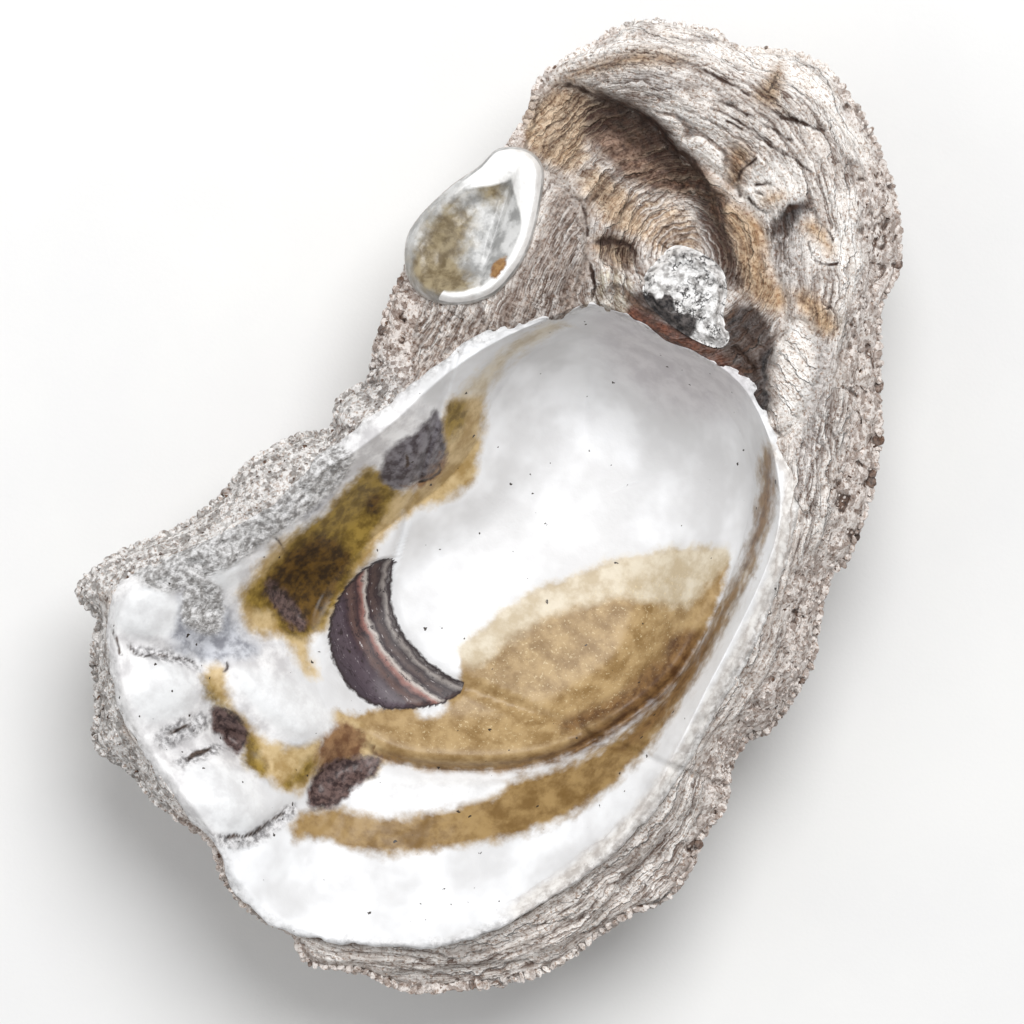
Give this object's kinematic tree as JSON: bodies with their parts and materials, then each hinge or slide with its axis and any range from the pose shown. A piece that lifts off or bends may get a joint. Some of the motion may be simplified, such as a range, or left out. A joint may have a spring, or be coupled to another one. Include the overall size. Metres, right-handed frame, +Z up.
{
  "type": "empty oyster half shell",
  "caption": "Cupped valve of an old oyster, empty, with nacre inside, layered crust outside, ligament remains and an attached young valve.",
  "frame": {"origin": "middle of the shell in plan, on the surface that it rests on", "axes": "+Z up out of the open cup, +Y from the ventral lip to the beak and hinge end, +X to the right as the cup is looked into with the beak at the top"},
  "size_m": [0.0846, 0.1299, 0.0339],
  "materials": {
    "shell": "nacre inside, chalky and craggy outside",
    "young_shell": "satin nacre",
    "chalk": "crumbly, matt"
  },
  "bodies": {
    "root": {"valve": "shell", "spat_valve": "young_shell", "ligament": "chalk"}
  },
  "joints": []
}
